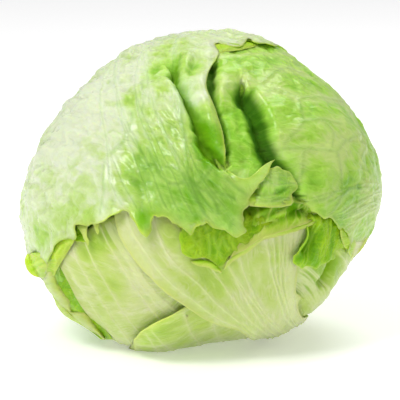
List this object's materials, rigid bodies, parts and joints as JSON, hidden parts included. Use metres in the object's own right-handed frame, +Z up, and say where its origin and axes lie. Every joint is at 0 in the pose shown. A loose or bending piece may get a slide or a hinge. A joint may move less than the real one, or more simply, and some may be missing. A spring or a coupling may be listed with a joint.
{
  "type": "head of lettuce",
  "caption": "Whole head of iceberg lettuce lying on its side: waved pale green wrapper leaves folded round a dense heart, cut stem low at the back.",
  "frame": {"origin": "middle of the footprint, at the floor the head rests on", "axes": "+Z up, +X along the widest extent from the viewer's left to right, -Y towards the side where the leaf tips meet"},
  "size_m": [0.169, 0.1592, 0.1461],
  "materials": {
    "heart": "soft sheen, bright yellow green",
    "stem": "matte cut face, cream with a tan rim",
    "leaf_left": "waxy gloss, pale whitish green with lighter veins",
    "leaf_right": "waxy gloss, mid green with a pale vein net",
    "leaf_front": "waxy gloss, cream green with fine veins",
    "leaf_lower_left": "waxy gloss, cream green with fanned veins",
    "leaf_lower_right": "waxy gloss, cream green",
    "leaf_bottom": "waxy gloss, cream green",
    "leaf_far_left": "waxy gloss, mid green with a lime rim"
  },
  "bodies": {
    "root": {"heart": "heart", "stem": "stem", "leaf_left": "leaf_left", "leaf_right": "leaf_right", "leaf_front": "leaf_front", "leaf_lower_left": "leaf_lower_left", "leaf_lower_right": "leaf_lower_right", "leaf_bottom": "leaf_bottom", "leaf_far_left": "leaf_far_left"}
  },
  "joints": []
}
